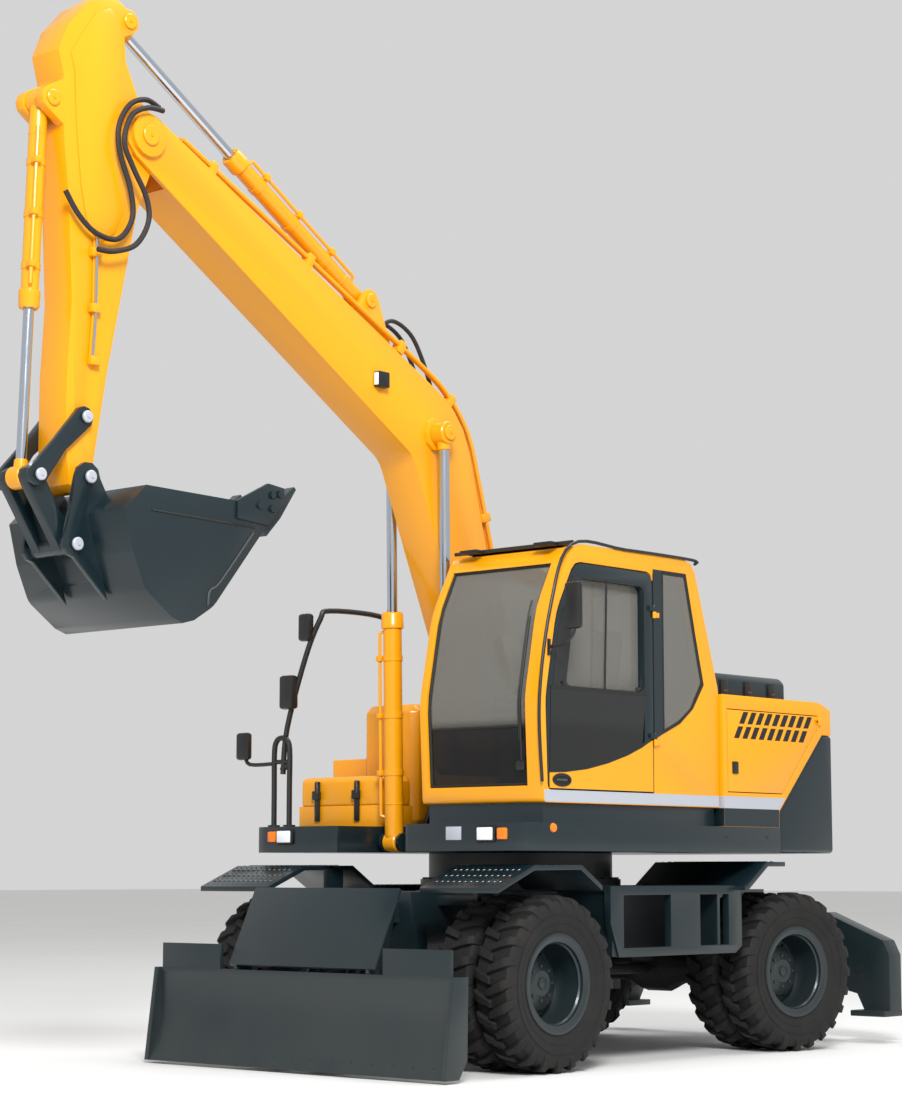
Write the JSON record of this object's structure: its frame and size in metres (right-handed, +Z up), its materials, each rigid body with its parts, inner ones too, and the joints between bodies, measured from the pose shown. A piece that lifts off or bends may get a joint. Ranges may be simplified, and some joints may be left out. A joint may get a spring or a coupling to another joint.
{
  "type": "wheeled excavator",
  "caption": "Wheeled excavator with dozer blade, rear stabilisers, slewing upper structure, cab, curved boom, arm and bucket.",
  "frame": {"origin": "on the ground below the middle of the bounding box", "axes": "+Z up; the blade and bucket face -Y; the cab is on the +X side, the machine's left"},
  "size_m": [2.845, 6.8653, 6.17],
  "materials": {
    "yellow_enamel": "gloss enamel",
    "dark_green_enamel": "satin enamel",
    "tyre_rubber": "matt",
    "chromed_rod": "polished",
    "black_coating": "satin",
    "tinted_glass": "tinted",
    "seat_cloth": "woven",
    "cast_iron": "painted casting",
    "hose_rubber": "matt"
  },
  "bodies": {
    "chassis": {"chassis_frame": "dark_green_enamel", "front_axle": "cast_iron", "rear_axle": "cast_iron", "left_side_box": "dark_green_enamel", "right_side_box": "dark_green_enamel", "slew_ring": "cast_iron", "drive_line": "cast_iron"},
    "front_left_wheels": {"tyres_front_left": "tyre_rubber", "wheel_front_left": "dark_green_enamel"},
    "front_right_wheels": {"tyres_front_right": "tyre_rubber", "wheel_front_right": "dark_green_enamel"},
    "rear_left_wheels": {"tyres_rear_left": "tyre_rubber", "wheel_rear_left": "dark_green_enamel"},
    "rear_right_wheels": {"tyres_rear_right": "tyre_rubber", "wheel_rear_right": "dark_green_enamel"},
    "left_knuckle": {"knuckle_left": "cast_iron"},
    "right_knuckle": {"knuckle_right": "cast_iron"},
    "blade": {"blade": "dark_green_enamel"},
    "blade_barrel_left": {"blade_barrel_left": "dark_green_enamel"},
    "blade_rod_left": {"blade_rod_left": "chromed_rod"},
    "stabiliser_left": {"stabiliser_left": "dark_green_enamel"},
    "blade_barrel_right": {"blade_barrel_right": "dark_green_enamel"},
    "blade_rod_right": {"blade_rod_right": "chromed_rod"},
    "stabiliser_right": {"stabiliser_right": "dark_green_enamel"},
    "upper": {"upper_frame": "dark_green_enamel", "counterweight": "dark_green_enamel", "engine": "cast_iron", "hood": "yellow_enamel", "fuel_tank": "yellow_enamel", "tool_box": "yellow_enamel", "right_handrail": "black_coating", "left_mirror": "black_coating", "cab_shell": "yellow_enamel", "windscreen": "tinted_glass", "quarter_glass": "tinted_glass", "right_glass": "tinted_glass", "rear_glass": "tinted_glass", "driver_seat": "seat_cloth", "console": "black_coating"},
    "cab_door": {"cab_door": "dark_green_enamel", "door_glass": "tinted_glass"},
    "side_door_left": {"side_door_left": "yellow_enamel"},
    "side_door_right": {"side_door_right": "yellow_enamel"},
    "engine_cover": {"engine_cover": "dark_green_enamel"},
    "tool_box_lid": {"tool_box_lid": "yellow_enamel"},
    "boom": {"boom": "yellow_enamel", "arm_hoses": "hose_rubber"},
    "boom_barrel_left": {"boom_barrel_left": "yellow_enamel"},
    "boom_rod_left": {"boom_rod_left": "chromed_rod"},
    "boom_barrel_right": {"boom_barrel_right": "yellow_enamel"},
    "boom_rod_right": {"boom_rod_right": "chromed_rod"},
    "arm": {"arm": "yellow_enamel"},
    "arm_barrel": {"arm_barrel": "yellow_enamel"},
    "arm_rod": {"arm_rod": "chromed_rod"},
    "bucket": {"bucket": "dark_green_enamel"},
    "bucket_barrel": {"bucket_barrel": "yellow_enamel"},
    "bucket_rod": {"bucket_rod": "chromed_rod"},
    "idler_links": {"idler_links": "dark_green_enamel"},
    "push_link": {"push_link": "dark_green_enamel"}
  },
  "joints": [
    {"name": "front_left_wheel_spin", "type": "hinge", "parent": "chassis", "child": "front_left_wheels", "pos_m": [0.955, -0.345, 0.51854], "axis": [1, 0, 0], "continuous": true},
    {"name": "front_right_wheel_spin", "type": "hinge", "parent": "chassis", "child": "front_right_wheels", "pos_m": [-0.955, -0.345, 0.51854], "axis": [1, 0, 0], "continuous": true},
    {"name": "left_steer", "type": "hinge", "parent": "chassis", "child": "left_knuckle", "pos_m": [0.57, 2.255, 0.51854], "axis": [0, 0, 1], "range_deg": [-19, 37]},
    {"name": "rear_left_wheel_spin", "type": "hinge", "parent": "left_knuckle", "child": "rear_left_wheels", "pos_m": [0.95026, 2.19477, 0.51854], "axis": [0.9877, -0.1564, 0], "continuous": true},
    {"name": "right_steer", "type": "hinge", "parent": "chassis", "child": "right_knuckle", "pos_m": [-0.57, 2.255, 0.51854], "axis": [0, 0, 1], "range_deg": [-19, 37]},
    {"name": "rear_right_wheel_spin", "type": "hinge", "parent": "right_knuckle", "child": "rear_right_wheels", "pos_m": [-0.95026, 2.31523, 0.51854], "axis": [0.9877, -0.1564, 0], "continuous": true},
    {"name": "blade_lift", "type": "hinge", "parent": "chassis", "child": "blade", "pos_m": [0, -0.765, 0.5], "axis": [-1, 0, 0], "range_deg": [-8, 30.8]},
    {"name": "blade_cylinder_swing_left", "type": "hinge", "parent": "chassis", "child": "blade_barrel_left", "pos_m": [0.165, -0.745, 0.93], "axis": [-1, 0, 0], "range_deg": [-4, 15.4]},
    {"name": "blade_rod_slide_left", "type": "slide", "parent": "blade_barrel_left", "child": "blade_rod_left", "axis": [0, -0.5484, -0.8362], "range_m": [-0.15, 0.04]},
    {"name": "stabiliser_left_swing", "type": "hinge", "parent": "chassis", "child": "stabiliser_left", "pos_m": [0.34, 3.305, 0.72], "axis": [0, -1, 0], "range_deg": [-21.6, 35]},
    {"name": "blade_cylinder_swing_right", "type": "hinge", "parent": "chassis", "child": "blade_barrel_right", "pos_m": [-0.165, -0.745, 0.93], "axis": [-1, 0, 0], "range_deg": [-4, 15.4]},
    {"name": "blade_rod_slide_right", "type": "slide", "parent": "blade_barrel_right", "child": "blade_rod_right", "axis": [0, -0.5484, -0.8362], "range_m": [-0.15, 0.04]},
    {"name": "stabiliser_right_swing", "type": "hinge", "parent": "chassis", "child": "stabiliser_right", "pos_m": [-0.34, 3.305, 0.72], "axis": [0, 1, 0], "range_deg": [-21.6, 35]},
    {"name": "slew", "type": "hinge", "parent": "chassis", "child": "upper", "pos_m": [0, 0.755, 1.295], "axis": [0, 0, 1], "continuous": true},
    {"name": "cab_door_hinge", "type": "hinge", "parent": "upper", "child": "cab_door", "pos_m": [1.2125, 0.6265, 2.3], "axis": [0, 0, 1], "range_deg": [0, 165]},
    {"name": "side_door_left_hinge", "type": "hinge", "parent": "upper", "child": "side_door_left", "pos_m": [1.236, 2.43, 2.19], "axis": [0, 0, 1], "range_deg": [0, 100]},
    {"name": "side_door_right_hinge", "type": "hinge", "parent": "upper", "child": "side_door_right", "pos_m": [-1.236, 2.43, 2.19], "axis": [0, 0, -1], "range_deg": [0, 100]},
    {"name": "engine_cover_hinge", "type": "hinge", "parent": "upper", "child": "engine_cover", "pos_m": [0.275, 1.455, 2.315], "axis": [1, 0, 0], "range_deg": [0, 65]},
    {"name": "tool_box_lid_hinge", "type": "hinge", "parent": "upper", "child": "tool_box_lid", "pos_m": [-0.825, 0.2, 1.79], "axis": [-1, 0, 0], "range_deg": [0, 85]},
    {"name": "boom_lift", "type": "hinge", "parent": "upper", "child": "boom", "pos_m": [-0.1, 0.595, 1.93], "axis": [-1, 0, 0], "range_deg": [-68, 6]},
    {"name": "boom_cylinder_swing_left", "type": "hinge", "parent": "upper", "child": "boom_barrel_left", "pos_m": [0.13, -0.105, 1.36], "axis": [-1, 0, 0], "range_deg": [-61.6, 5.6]},
    {"name": "boom_rod_slide_left", "type": "slide", "parent": "boom_barrel_left", "child": "boom_rod_left", "axis": [0, -0.0154, 0.9999], "range_m": [-1, 0.09]},
    {"name": "boom_cylinder_swing_right", "type": "hinge", "parent": "upper", "child": "boom_barrel_right", "pos_m": [-0.33, -0.105, 1.36], "axis": [-1, 0, 0], "range_deg": [-61.6, 5.6]},
    {"name": "boom_rod_slide_right", "type": "slide", "parent": "boom_barrel_right", "child": "boom_rod_right", "axis": [0, -0.0154, 0.9999], "range_m": [-1, 0.09]},
    {"name": "arm_swing", "type": "hinge", "parent": "boom", "child": "arm", "pos_m": [-0.1, -2.615, 5.37], "axis": [1, 0, 0], "range_deg": [-82, 22], "deforming": ["arm_hoses"]},
    {"name": "arm_cylinder_swing", "type": "hinge", "parent": "boom", "child": "arm_barrel", "pos_m": [-0.1, -0.685, 4.744], "axis": [1, 0, 0], "range_deg": [-6.6, 2]},
    {"name": "arm_rod_slide", "type": "slide", "parent": "arm_barrel", "child": "arm_rod", "axis": [0, -0.8471, 0.5314], "range_m": [-0.87, 0.24]},
    {"name": "bucket_curl", "type": "hinge", "parent": "arm", "child": "bucket", "pos_m": [-0.1, -3.037, 3.332], "axis": [1, 0, 0], "range_deg": [-125, 30]},
    {"name": "idler_swing", "type": "hinge", "parent": "arm", "child": "idler_links", "pos_m": [-0.1, -3.042, 3.671], "axis": [1, 0, 0], "range_deg": [-96, 24]},
    {"name": "push_link_swing", "type": "hinge", "parent": "bucket", "child": "push_link", "pos_m": [-0.1, -3.123, 2.951], "axis": [1, 0, 0], "range_deg": [-22, 89]},
    {"name": "bucket_cylinder_swing", "type": "hinge", "parent": "arm", "child": "bucket_barrel", "pos_m": [-0.1, -3.285, 5.45], "axis": [1, 0, 0], "range_deg": [-5.2, 1.4]},
    {"name": "bucket_rod_slide", "type": "slide", "parent": "bucket_barrel", "child": "bucket_rod", "axis": [0, -0.0351, -0.9994], "range_m": [-0.73, 0.18]}
  ],
  "couplings": [
    {"joint": "right_steer", "follows": "left_steer", "ratio": 1},
    {"joint": "blade_cylinder_swing_left", "follows": "blade_lift", "ratio": 0.49},
    {"joint": "blade_rod_slide_left", "follows": "blade_lift", "m_per_rad": -0.262},
    {"joint": "blade_cylinder_swing_right", "follows": "blade_lift", "ratio": 0.49},
    {"joint": "blade_rod_slide_right", "follows": "blade_lift", "m_per_rad": -0.262},
    {"joint": "boom_cylinder_swing_left", "follows": "boom_lift", "ratio": 0.9012},
    {"joint": "boom_rod_slide_left", "follows": "boom_lift", "m_per_rad": 0.836},
    {"joint": "boom_cylinder_swing_right", "follows": "boom_lift", "ratio": 0.9012},
    {"joint": "boom_rod_slide_right", "follows": "boom_lift", "m_per_rad": 0.836},
    {"joint": "arm_cylinder_swing", "follows": "arm_swing", "ratio": 0.0764},
    {"joint": "arm_rod_slide", "follows": "arm_swing", "m_per_rad": 0.5995},
    {"joint": "idler_swing", "follows": "bucket_curl", "ratio": 0.76},
    {"joint": "push_link_swing", "follows": "bucket_curl", "ratio": -0.7},
    {"joint": "bucket_cylinder_swing", "follows": "bucket_curl", "ratio": 0.04},
    {"joint": "bucket_rod_slide", "follows": "bucket_curl", "m_per_rad": 0.33}
  ]
}
